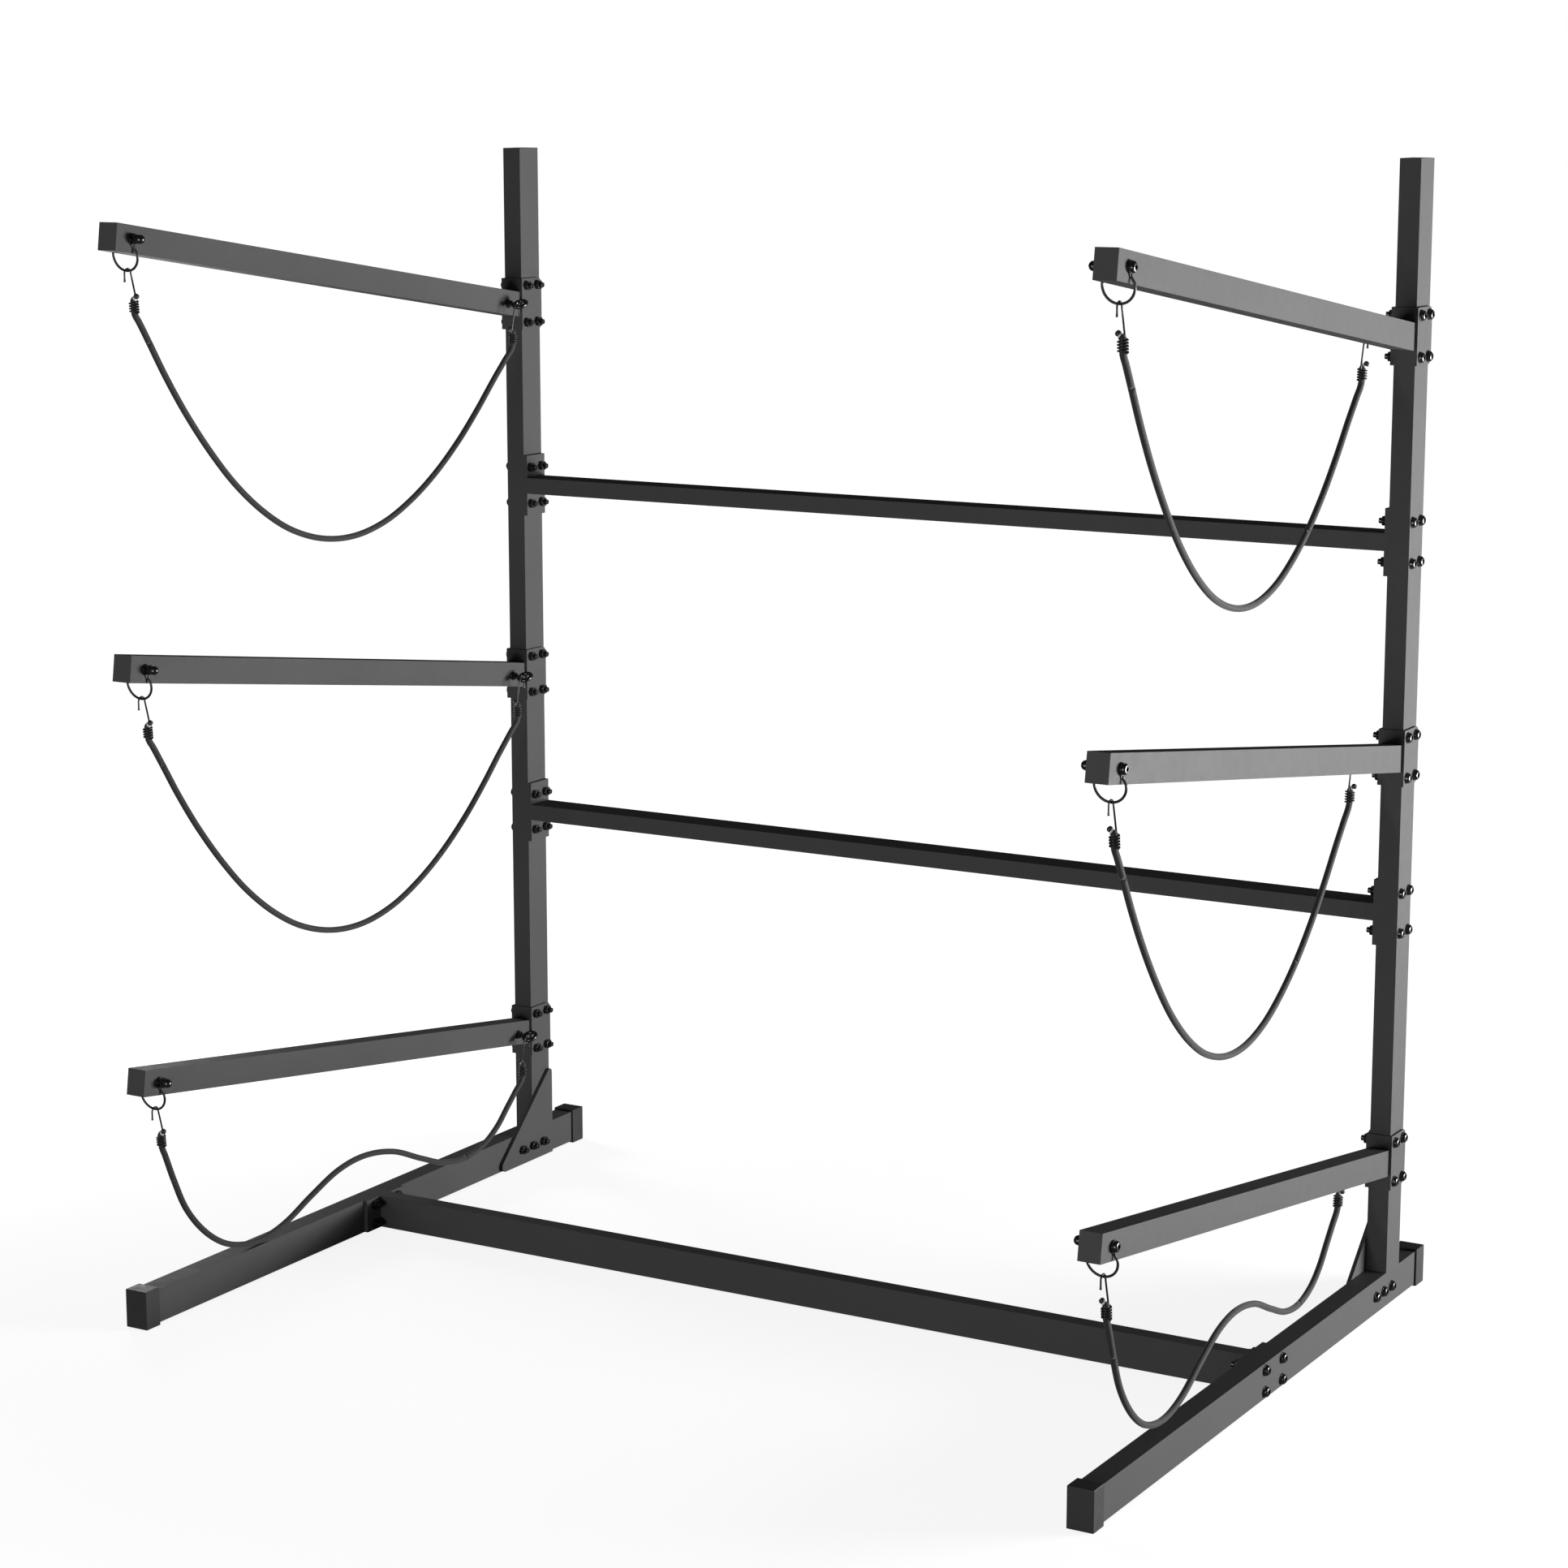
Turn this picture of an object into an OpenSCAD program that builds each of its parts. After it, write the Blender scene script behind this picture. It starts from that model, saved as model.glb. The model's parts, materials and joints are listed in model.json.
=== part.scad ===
// Freestanding kayak rack: two uprights on long feet, three crossbars, three
// pairs of sloping arms, and a sling cord with a wire hook at each end under
// every arm. Millimetres, +Z up. The arms point to -Y, and the right unit is
// at +X. The origin is on the floor, under the middle of the rack.

/* [Uprights] */
// Distance between the centre planes of the two units
unit_span = 1480; // [1100:10:1900]
// Width of an upright's tube, across the rack
upright_w = 31; // [26:1:36]
// Depth of an upright's tube, front to back
upright_d = 50; // [46:1:60]
// Length of an upright, which stands on its foot
upright_len = 1582; // [1520:2:1800]
// Distance of the uprights' centre from the rear ends of the feet's tubes
upright_inset = 117; // [80:0.5:160]
// Wall of every square tube
tube_wall = 2; // [1.5:0.1:3]

/* [Feet] */
// Height of a foot's tube
foot_h = 50; // [46:1:60]
// Length of a foot's tube
foot_len = 1116; // [1060:2:1300]
// Length of an end cap
cap_len = 30; // [20:1:45]
// Wall of an end cap
cap_wall = 3; // [2:0.5:4]
// Room between an end cap and its tube, on each side
cap_fit = 0.1; // [0.05:0.05:0.3]

/* [Arms] */
// Width of an arm's tube, across the rack
arm_w = 31; // [26:1:36]
// Height of an arm's tube, square to its slope
arm_h = 38; // [34:1:46]
// Length of an arm along its centre line, from its saddle to its tip
arm_len = 967; // [800:1:980]
// Rise of an arm towards its tip, in degrees
arm_rise = 8.3; // [4:0.1:12]
// Height of the lowest arms' roots
lowest_row = 217.5; // [205:0.5:260]
// Distance from one row of arms up to the next
row_pitch = 588; // [540:0.5:600]

/* [Saddles] */
// Height of the folded saddle at an arm's root
saddle_h = 80; // [74:1:100]
// Thickness of a saddle's sheet
saddle_t = 4; // [3:0.5:5]
// Radius of the corners at a saddle's back
saddle_corner = 10; // [4:1:14]
// Distance between a saddle's upper and lower bolts
saddle_bolts_z = 57.5; // [52:0.5:60]

/* [Crossbars] */
// Wide side of a crossbar's tube
bar_wide = 50; // [46:1:54]
// Narrow side of a crossbar's tube
bar_thin = 25; // [20:1:30]
// Height of the middle crossbar
middle_bar_z = 581; // [560:1:640]
// Height of the upper crossbar
upper_bar_z = 1108; // [1090:1:1220]
// Distance of the floor crossbar behind the middle of the feet
floor_bar_y = 4; // [0:1:40]
// Length of an end plate
plate_len = 95; // [90:1:105]
// Thickness of an end plate
plate_t = 6; // [4:0.5:8]
// Distance between an end plate's bolts, along the plate
plate_bolts_long = 57.5; // [52:0.5:64]
// Distance between the bolts of a plate or a saddle, across it
bolts_across = 30; // [26:0.5:30]

/* [Gussets] */
// Length of a gusset along its foot
gusset_len = 145.5; // [130:0.5:170]
// Height of a gusset above the foot's underside
gusset_h = 142; // [120:1:160]
// Thickness of a gusset
gusset_t = 6; // [4:0.5:8]
// Radius of a gusset's front nose
gusset_nose = 9; // [6:1:16]
// Radius of a gusset's top corner
gusset_top = 6; // [3:0.5:8]
// Distance of the first gusset bolt from the gusset's back edge
gusset_bolt_inset = 28.5; // [24:0.5:34]
// Distance from one gusset bolt to the next
gusset_pitch = 30; // [26:1:34]

/* [Fasteners] */
// Diameter of the frame's bolts
bolt_d = 8; // [6:0.5:8]
// Room round a bolt in its hole, on each side
bolt_fit = 0.25; // [0.15:0.05:0.4]
// Room between a nut and its thread, on each side
thread_fit = 0.05; // [0.03:0.01:0.1]
// Diameter of a bolt's round head
head_d = 14; // [13:0.5:15]
// Bevel round a head's outer edge
head_bevel = 2.4; // [0.5:0.1:2.5]
// Height of a bolt's head
head_h = 5; // [4:0.5:6]
// Hexagon socket of a head, across its flats
socket_flats = 6; // [5:0.5:6.5]
// Depth of the socket
socket_depth = 3; // [2:0.5:3.5]
// Diameter of a washer
washer_d = 16; // [14:0.5:18]
// Thickness of a washer
washer_t = 1.6; // [1.2:0.1:2]
// Width of a nut across its flats
nut_flats = 13; // [12.5:0.5:14]
// Height of a nut
nut_h = 6.5; // [5:0.5:8]
// Length of thread that stands out of a nut
thread_end = 5; // [2:0.5:8]
// Length of the straight part between a domed nut's hexagon and its dome
dome_base = 4.5; // [3:0.5:6]

/* [Bails] */
// Distance of the bail's bolt from the arm's tip
bail_inset = 32; // [30:0.5:60]
// Diameter of a bail's wire
bail_wire = 3; // [2:0.1:3.5]
// Distance of the round loop's centre below the bolt
bail_drop = 22.8; // [22:0.1:25]
// Rearward swing at which a bail rests, in degrees
bail_rest = 9.5; // [0:0.5:15]
// Diameter of a bail's ears
ear_d = 16; // [14:0.5:17]
// Thickness of an ear
ear_t = 1.5; // [1.2:0.1:2]
// Room on each side of an ear, along its bolt
ear_gap = 0.3; // [0.2:0.05:0.5]
// Room round the bolt in an ear, on each side
ear_fit = 0.08; // [0.05:0.01:0.1]

/* [Eye bolts] */
// Distance of the eye bolt from the arm's root, along the arm
eye_inset = 34; // [22:0.1:60]
// Distance of the eye bolt below the arm's centre line
eye_drop = 2.2; // [0:0.1:4]
// Distance of the ring's centre from the arm's side
eye_reach = 23; // [22:0.5:30]
// Radius of the ring, to the middle of its wire
eye_ring = 10; // [9.5:0.5:11]
// Diameter of the ring's wire and of its thread
eye_wire = 6; // [5:0.5:6.5]
// Tilt of the ring, back edge up, in degrees
eye_tilt = 27; // [10:1:35]
// Width of the eye bolt's nuts across their flats
eye_nut_flats = 10; // [9.5:0.5:13]
// Height of the eye bolt's nuts
eye_nut_h = 5; // [4:0.5:5.5]
// Diameter of the eye bolt's washer
eye_washer_d = 14; // [12:0.5:18]

/* [Hooks] */
// Diameter of a hook's wire
hook_wire = 2.3; // [2:0.1:2.8]
// Radius of a hook's bend, to the middle of its wire
hook_bend = 6.5; // [6.2:0.1:7]
// Room between a hook and the wire that it hangs on
hook_gap = 0.35; // [0.3:0.05:0.5]
// Length of a hook's free leg, from the top of the bend
hook_leg = 18; // [14:0.5:22]
// Length of a hook's shank, from the bend to the winding
hook_shank = 38; // [26:0.5:42]
// Lean of the shank from the free leg, in degrees
shank_lean = 15; // [8:1:20]
// Lean of the winding from the free leg, in degrees
winding_lean = 5; // [0:1:20]
// Distance from one turn of the winding to the next
winding_pitch = 3.6; // [3.4:0.1:4.2]
// Number of full turns in a winding
winding_turns = 4; // [3:1:5]
// Room between the winding and its cord, on each side
winding_fit = 0.5; // [0.4:0.05:0.8]

/* [Cords] */
// Diameter of a sling cord
cord_d = 8.5; // [7:0.1:10]
// Length of the cord's end that stands out of a winding, along its axis
cord_end = 8.5; // [6:0.5:14]
// Distance that the cord's end turns aside from the winding's axis
cord_aside = 8; // [6:0.5:9]

/* [Hidden] */
$fn = 48;
left = -1;
right = 1;
bottom = 0;
middle = 1;
top = 2;
sides = [left, right];
rows = [bottom, middle, top];
two_ways = [-1, 1];
// Overlap that a cut reaches past a face
past = 1;

coat = "#3b3b3d";
plastic = "#2c2c2e";
black_steel = "#1d1d1f";
braid = "#38383b";

// The frame's faces. Distances from the middle plane are for the right unit.
unit_x = unit_span / 2;
inner_x = unit_x - upright_w / 2;
outer_x = unit_x + upright_w / 2;
upright_back = foot_len / 2 - upright_inset;
upright_front = upright_back - upright_d / 2;
upright_rear = upright_back + upright_d / 2;
foot_z = cap_wall;
foot_top = foot_z + foot_h;
foot_mid_z = foot_z + foot_h / 2;
cap_w = upright_w + 2 * (cap_fit + cap_wall);

// The arms' frame has its origin at the root's centre, on the saddle's face,
// and its own -Y along the arm.
root_y = upright_front - saddle_t;
bail_bolt_s = arm_len - bail_inset;
arm_hole_r = bolt_d / 2 + bolt_fit;
saddle_in = inner_x - saddle_t;
saddle_out = outer_x + saddle_t;
saddle_mid_y = (root_y + upright_rear) / 2;

// Stack on the bail's bolt, outwards from the arm's side
ear_in = arm_w / 2 + ear_gap;
ear_out = ear_in + ear_t;
bail_washer_in = ear_out + ear_gap;
bail_washer_out = bail_washer_in + washer_t;

// The bail's arc starts beside its ears, just below the bolt's washers, with
// its wire flush with the ears' inner faces
loop_end_x = ear_in + bail_wire / 2;
loop_end_drop = max(ear_d, washer_d) / 2 + bail_wire;
loop_half = 90 + atan2(bail_drop - loop_end_drop, loop_end_x);
bail_loop = norm([loop_end_x, bail_drop - loop_end_drop]);

function row_z(row) = lowest_row + row * row_pitch;
// Point on an arm's centre line, s along it from the root
function on_arm(row, s) =
    [root_y - s * cos(arm_rise), row_z(row) + s * sin(arm_rise)];

// Seats of the hooks: the middle of the bail's lowest wire and of the ring's
// front wire, as [y, z]
function bail_bolt(row) = on_arm(row, bail_bolt_s);
function front_seat(row) =
    bail_bolt(row) + (bail_drop + bail_loop) * [sin(bail_rest), -cos(bail_rest)];
function eye_spot(row) =
    on_arm(row, eye_inset) - eye_drop * [sin(arm_rise), cos(arm_rise)];
function rear_seat(row) =
    eye_spot(row) - eye_ring * [cos(eye_tilt), sin(eye_tilt)];
rear_seat_x = unit_x - arm_w / 2 - eye_reach;

// A hook lies in its own frame: seat at the origin, a towards the shank's
// side, z up, and x along the seat's wire.
coil_r = cord_d / 2 + winding_fit + hook_wire / 2;
coil_axis = [sin(winding_lean), -cos(winding_lean)];
coil_side = [cos(winding_lean), sin(winding_lean)];
lead_in = 2;
coil_len = lead_in + winding_turns * winding_pitch;
curl_rings = 8;
bend_rings = 8;
lead_rings = 4;
wire_sides = 6;

function bend_mid(seat_r) = seat_r + hook_gap + hook_wire / 2 - hook_bend;
function shank_end(seat_r) =
    [hook_bend, bend_mid(seat_r)]
    + hook_shank * [sin(shank_lean), -cos(shank_lean)];
// Centre of the winding, s along its axis from the shank's end
function coil_mid(seat_r, s) =
    shank_end(seat_r) - coil_r * coil_side + s * coil_axis;
function coil_point(seat_r, turn, s) =
    let (mid = coil_mid(seat_r, s), in_plane = coil_r * cos(turn))
    [coil_r * sin(turn), mid[0] + in_plane * coil_side[0], mid[1] + in_plane * coil_side[1]];
coil_step = 90 + 360 * winding_turns;
coil_end_way = [cos(coil_step), -sin(coil_step) * coil_side[0], -sin(coil_step) * coil_side[1]];
lead_slope = 2 * lead_in - winding_pitch / 2;
function lead_s(u) = lead_slope * u + (winding_pitch / 2 - lead_slope) * u * u / 2;

// Middle line of a hook's wire: free leg, bend, shank, lead-in and winding
function hook_path(seat_r) =
    let (
        mid_z = bend_mid(seat_r),
        leg_z = mid_z + hook_bend - hook_leg,
        last = coil_point(seat_r, coil_step, coil_len)
    )
    concat(
        [[0, -hook_bend, leg_z], [0, -hook_bend, leg_z + hook_wire]],
        [for (i = [0 : bend_rings])
            let (turn = 180 - 180 * i / bend_rings)
            [0, hook_bend * cos(turn), mid_z + hook_bend * sin(turn)]],
        [for (i = [0 : lead_rings])
            let (u = i / lead_rings) coil_point(seat_r, 90 * u * u, lead_s(u))],
        [for (i = [1 : winding_turns * curl_rings])
            coil_point(seat_r, 90 + 360 * i / curl_rings,
                lead_in + winding_pitch * i / curl_rings)],
        [last + hook_wire * coil_end_way]
    );

// Least room between two stretches of one hook's wire, measured between its
// middle line's points that lie over half a turn apart
function least_gap(path, apart) =
    min([for (i = [0 : len(path) - 1 - apart], j = [i + apart : len(path) - 1])
        norm(path[i] - path[j])]) - hook_wire;

// A cord's own points are [y, z], with y from the uprights' centre, and z from
// its row's height, or from the floor in the bottom row. They run from the
// front hook to the rear one.
high_route = [
    [-928, 23], [-908.5, -7], [-878.5, -54], [-838.5, -109.5], [-788.5, -168.5],
    [-738.5, -218], [-678.5, -263], [-618.5, -294.5], [-548.5, -314], [-478.5, -317],
    [-408.5, -303.5], [-348.5, -279], [-288.5, -244.5], [-228.5, -199.5],
    [-178.5, -154], [-133.5, -108.5], [-106, -82]
];
low_route = [
    [-930, 239], [-912.5, 196], [-888.5, 147], [-850.5, 103], [-808.5, 74],
    [-768.5, 61], [-733.5, 58], [-698.5, 62.5], [-668.5, 71], [-613.5, 95],
    [-548.5, 119], [-488.5, 126], [-418.5, 115.5], [-348.5, 87], [-293.5, 66.5],
    [-238.5, 60.5], [-188.5, 71.5], [-153.5, 92], [-128.5, 115.5], [-105, 137.5]
];
cord_sides = 8;
route_steps = 3;

// Points of a cord inside a winding, s along the winding's axis
function front_point(row, s) = front_seat(row) + coil_mid(bail_wire / 2, s);
function rear_point(row, s) =
    let (p = coil_mid(eye_wire / 2, s)) rear_seat(row) + [-p[0], p[1]];
// Marks along a winding's axis that its cord passes: the cord's end, the
// winding's start, its first full turn, its end, and just past that
cord_marks = [-cord_end, 0, lead_in, coil_len, coil_len + cord_d / 4];
last_mark = len(cord_marks) - 1;
function cord_x(row, y) =
    let (
        y0 = front_point(row, cord_marks[last_mark])[0],
        y1 = rear_point(row, cord_marks[last_mark])[0],
        share = min(1, max(0, (y - y0) / (y1 - y0)))
    )
    unit_x + share * (rear_seat_x - unit_x);
function cord_route(row) =
    let (
        own = row == bottom ? [for (p = low_route) p + [upright_back, 0]]
            : [for (p = high_route) p + [upright_back, row_z(row)]],
        flat = concat(
            [for (s = cord_marks) front_point(row, s)],
            own,
            [for (i = [last_mark : -1 : 0]) rear_point(row, cord_marks[i])]),
        last = len(flat) - 1
    )
    [for (i = [0 : last])
        let (aside = i == 0 ? -cord_aside : i == last ? cord_aside : 0)
        [cord_x(row, flat[i][0]) + aside, flat[i][0], flat[i][1]]];

function direction(v) = v / norm(v);
function way_in(route, i) =
    i == 0 ? direction(route[1] - route[0])
    : i == len(route) - 1 ? direction(route[i] - route[i - 1])
    : direction(direction(route[i + 1] - route[i]) + direction(route[i] - route[i - 1]));
function smooth_point(p, q, way_p, way_q, t) =
    let (reach = norm(q - p), t2 = t * t, t3 = t2 * t)
    (2 * t3 - 3 * t2 + 1) * p + (t3 - 2 * t2 + t) * reach * way_p
    + (3 * t2 - 2 * t3) * q + (t3 - t2) * reach * way_q;
// Smooth line through a route's points, with a number of steps between two
function smooth(route, steps) =
    concat(
        [for (i = [0 : len(route) - 2], k = [0 : steps - 1])
            smooth_point(route[i], route[i + 1], way_in(route, i),
                way_in(route, i + 1), k / steps)],
        [route[len(route) - 1]]
    );

// Frames that follow a line without twisting
function carried(v, way) = direction(v - (v * way) * way);
function normals(path, i, found) =
    i == len(path) ? found
    : normals(path, i + 1,
        concat(found, [carried(found[i - 1], way_in(path, i))]));

// Tube of a given radius along a line of points, closed at both ends
module tube_along(path, r, tube_sides, start) {
    last = len(path) - 1;
    across = normals(path, 1, [carried(start, way_in(path, 0))]);
    rings = [for (i = [0 : last])
        let (way = way_in(path, i), v = across[i], w = cross(way, v))
        for (k = [0 : tube_sides - 1])
            path[i] + r * (cos(360 * k / tube_sides) * v + sin(360 * k / tube_sides) * w)];
    walls = [for (i = [0 : last - 1], k = [0 : tube_sides - 1])
        let (
            a = i * tube_sides + k,
            b = i * tube_sides + (k + 1) % tube_sides
        )
        for (f = [[a, a + tube_sides, b], [b, a + tube_sides, b + tube_sides]]) f];
    lids = [for (k = [1 : tube_sides - 2])
        let (e = last * tube_sides)
        for (f = [[0, k, k + 1], [e, e + k + 1, e + k]]) f];
    polyhedron(points = rings, faces = concat(walls, lids), convexity = 8);
}

// Box between two corners
module box(from, to) {
    translate(from) cube(to - from);
}

// Cylinder along X between two distances from the unit's middle plane
module rod_x(r, x0, x1) {
    translate([x0, 0, 0]) rotate([0, 90, 0]) cylinder(r = r, h = x1 - x0);
}

// Hexagon bar along X, a flat facing down
module hex_x(flats, x0, x1) {
    translate([x0, 0, 0]) rotate([0, 90, 0]) rotate([0, 0, 30])
        cylinder(d = flats / cos(30), h = x1 - x0, $fn = 6);
}

// Places for one unit's pieces: the left unit mirrors the right one
module on_side(side) {
    if (side == right) children();
    else mirror([1, 0, 0]) children();
}

module at_row(row) {
    translate([unit_x, root_y, row_z(row)]) children();
}

// Frame of an arm: its own -Y runs along the arm to the tip
module along_arm(row) {
    at_row(row) rotate([-arm_rise, 0, 0]) children();
}

// Bolt places, as [y, z], on the side face of the upright or the foot
function saddle_spots(row) =
    [for (i = two_ways, j = two_ways)
        [saddle_mid_y + i * bolts_across / 2, row_z(row) + j * saddle_bolts_z / 2]];
function bar_spots(z) =
    [for (i = two_ways, j = two_ways)
        [upright_back + i * bolts_across / 2, z + j * plate_bolts_long / 2]];
floor_spots =
    [for (i = two_ways, j = two_ways)
        [floor_bar_y + i * plate_bolts_long / 2, foot_mid_z + j * bolts_across / 2]];
gusset_spots =
    [for (i = [0 : 2])
        [upright_rear - gusset_bolt_inset - i * gusset_pitch, foot_mid_z]];
saddle_all = [for (row = rows) for (p = saddle_spots(row)) p];
high_bars = [for (z = [middle_bar_z, upper_bar_z]) for (p = bar_spots(z)) p];
bars_all = concat(high_bars, floor_spots);

module at_spots(spots) {
    for (p = spots) translate([0, p[0], p[1]]) children();
}

module holes_through(spots, x0, x1) {
    at_spots(spots) rod_x(arm_hole_r, x0 - past, x1 + past);
}

// ---- Frame ----

module upright(side) {
    color(coat) on_side(side) difference() {
        box([inner_x, upright_front, foot_top],
            [outer_x, upright_rear, foot_top + upright_len]);
        box([inner_x + tube_wall, upright_front + tube_wall, foot_top - past],
            [outer_x - tube_wall, upright_rear - tube_wall,
                foot_top + upright_len - tube_wall]);
        holes_through(concat(saddle_all, high_bars), inner_x, outer_x);
    }
}

module foot(side) {
    color(coat) on_side(side) difference() {
        box([inner_x, -foot_len / 2, foot_z], [outer_x, foot_len / 2, foot_top]);
        box([inner_x + tube_wall, -foot_len / 2 - past, foot_z + tube_wall],
            [outer_x - tube_wall, foot_len / 2 + past, foot_top - tube_wall]);
        holes_through(concat(floor_spots, gusset_spots), inner_x, outer_x);
    }
}

// Cap over a foot's end: end_way is -1 at the front and 1 at the rear
module end_cap(side, end_way) {
    color(plastic) on_side(side) scale([1, end_way, 1]) difference() {
        box([unit_x - cap_w / 2, foot_len / 2 + cap_wall - cap_len, 0],
            [unit_x + cap_w / 2, foot_len / 2 + cap_wall, foot_top + cap_fit + cap_wall]);
        box([inner_x - cap_fit, foot_len / 2 + cap_wall - cap_len - past, foot_z],
            [outer_x + cap_fit, foot_len / 2, foot_top + cap_fit]);
    }
}

// Outline of a gusset in the plane of its plate, as [y, z]
module gusset_outline() {
    bottom_z = foot_z;
    nose = [upright_rear - gusset_len + gusset_nose, bottom_z + gusset_nose];
    peak = [upright_rear - gusset_top, bottom_z + gusset_h - gusset_top];
    run = peak - nose;
    lean = atan2(run[1], run[0]) + acos((gusset_nose - gusset_top) / norm(run));
    out = [cos(lean), sin(lean)];
    translate(nose) circle(r = gusset_nose);
    translate(peak) circle(r = gusset_top);
    polygon([
        [nose[0], bottom_z],
        [upright_rear, bottom_z],
        [upright_rear, peak[1]],
        peak + gusset_top * out,
        nose + gusset_nose * out
    ]);
}

module gusset(side) {
    color(coat) on_side(side) difference() {
        translate([inner_x - gusset_t, 0, 0]) rotate([90, 0, 90])
            linear_extrude(gusset_t) gusset_outline();
        holes_through(gusset_spots, inner_x - gusset_t, inner_x);
    }
}

// Tube from one end plate to the other, and the plates
module crossbar(y, z, tube_y, tube_z, plate_y, plate_z, spots) {
    half = inner_x - plate_t;
    color(coat) difference() {
        union() {
            difference() {
                box([-half, y - tube_y / 2, z - tube_z / 2],
                    [half, y + tube_y / 2, z + tube_z / 2]);
                box([-half - past, y - tube_y / 2 + tube_wall, z - tube_z / 2 + tube_wall],
                    [half + past, y + tube_y / 2 - tube_wall, z + tube_z / 2 - tube_wall]);
            }
            for (side = sides) on_side(side)
                box([half, y - plate_y / 2, z - plate_z / 2],
                    [inner_x, y + plate_y / 2, z + plate_z / 2]);
        }
        for (side = sides) on_side(side) holes_through(spots, half, inner_x);
    }
}

module high_crossbar(z) {
    crossbar(upright_back, z, bar_wide, bar_thin, upright_d, plate_len, bar_spots(z));
}

module floor_crossbar() {
    crossbar(floor_bar_y, foot_mid_z, bar_thin, bar_wide, plate_len, foot_h, floor_spots);
}

// ---- Arms ----

// One cheek of a saddle, in the plane of its sheet, as [y, z]
module saddle_cheek() {
    half_h = saddle_h / 2;
    deep = upright_rear - root_y;
    translate([0, -half_h]) square([deep - saddle_corner, saddle_h]);
    translate([0, saddle_corner - half_h]) square([deep, saddle_h - 2 * saddle_corner]);
    for (way = two_ways)
        translate([deep - saddle_corner, way * (half_h - saddle_corner)])
            circle(r = saddle_corner);
}

module saddle(row) {
    half_w = upright_w / 2 + saddle_t;
    at_row(row) {
        box([-half_w, 0, -saddle_h / 2], [half_w, saddle_t, saddle_h / 2]);
        for (x = [-half_w, half_w - saddle_t])
            translate([x, 0, 0]) rotate([90, 0, 90]) linear_extrude(saddle_t) saddle_cheek();
    }
}

module arm_tube(row) {
    deep = arm_h;
    difference() {
        along_arm(row) difference() {
            box([-arm_w / 2, -arm_len, -arm_h / 2], [arm_w / 2, deep, arm_h / 2]);
            box([-arm_w / 2 + tube_wall, -arm_len + tube_wall, -arm_h / 2 + tube_wall],
                [arm_w / 2 - tube_wall, deep + past, arm_h / 2 - tube_wall]);
        }
        at_row(row) box([-arm_w, 0, -2 * arm_h], [arm_w, 2 * arm_h, 2 * arm_h]);
    }
}

module arm(side, row) {
    color(coat) on_side(side) difference() {
        union() {
            arm_tube(row);
            saddle(row);
        }
        holes_through(saddle_spots(row), saddle_in, saddle_out);
        along_arm(row) translate([0, -bail_bolt_s, 0])
            rod_x(arm_hole_r, -arm_w / 2 - past, arm_w / 2 + past);
        along_arm(row) translate([0, -eye_inset, -eye_drop])
            rod_x(eye_wire / 2 + bolt_fit, -arm_w / 2 - past, 0);
    }
}

// ---- Fasteners, each along X, head outwards ----

// Bolt whose head seats at head_x and whose thread ends at end_x
module bolt(head_x, end_x) {
    difference() {
        union() {
            rod_x(bolt_d / 2, end_x, head_x + head_h / 2);
            rod_x(head_d / 2, head_x, head_x + head_h - head_bevel);
            translate([head_x + head_h - head_bevel, 0, 0]) rotate([0, 90, 0])
                cylinder(r1 = head_d / 2, r2 = head_d / 2 - head_bevel, h = head_bevel);
        }
        hex_x(socket_flats, head_x + head_h - socket_depth, head_x + head_h + past);
    }
}

module washer(x0, d, bore_r) {
    difference() {
        rod_x(d / 2, x0, x0 + washer_t);
        rod_x(bore_r, x0 - past, x0 + washer_t + past);
    }
}

module nut(x0, flats, height, bore_r) {
    difference() {
        hex_x(flats, x0, x0 + height);
        rod_x(bore_r, x0 - past, x0 + height + past);
    }
}

// Bolts, washers and nuts of one pattern, through faces at x_in and x_out
module frame_bolts(spots, x_in, x_out) {
    color(black_steel) for (side = sides) on_side(side) at_spots(spots)
        bolt(x_out + washer_t, x_in - nut_h - thread_end);
}

module frame_washers(spots, x_out) {
    color(black_steel) for (side = sides) on_side(side) at_spots(spots)
        washer(x_out, washer_d, arm_hole_r);
}

module frame_nuts(spots, x_in) {
    color(black_steel) for (side = sides) on_side(side) at_spots(spots)
        nut(x_in - nut_h, nut_flats, nut_h, bolt_d / 2 + thread_fit);
}

module bracket_bolts() { frame_bolts(saddle_all, saddle_in, saddle_out); }
module bracket_washers() { frame_washers(saddle_all, saddle_out); }
module bracket_nuts() { frame_nuts(saddle_all, saddle_in); }
module crossbar_bolts() { frame_bolts(bars_all, inner_x - plate_t, outer_x); }
module crossbar_washers() { frame_washers(bars_all, outer_x); }
module crossbar_nuts() { frame_nuts(bars_all, inner_x - plate_t); }
module gusset_bolts() { frame_bolts(gusset_spots, inner_x - gusset_t, outer_x); }
module gusset_washers() { frame_washers(gusset_spots, outer_x); }
module gusset_nuts() { frame_nuts(gusset_spots, inner_x - gusset_t); }

// ---- Bail bolts and bails ----

module at_bail_bolts() {
    for (side = sides, row = rows) on_side(side)
        translate([unit_x, bail_bolt(row)[0], bail_bolt(row)[1]]) children();
}

// Radius of a domed nut's dome, and depth of the thread inside the nut
dome_r = nut_flats * 0.48;
dome_grip = nut_h + dome_base;
dome_x = -bail_washer_out - nut_h - dome_base;

module tip_bolts() {
    color(black_steel) at_bail_bolts() bolt(bail_washer_out, -bail_washer_out - dome_grip);
}

module tip_washers() {
    color(black_steel) at_bail_bolts()
        for (x = [bail_washer_in, -bail_washer_out]) washer(x, washer_d, arm_hole_r);
}

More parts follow.
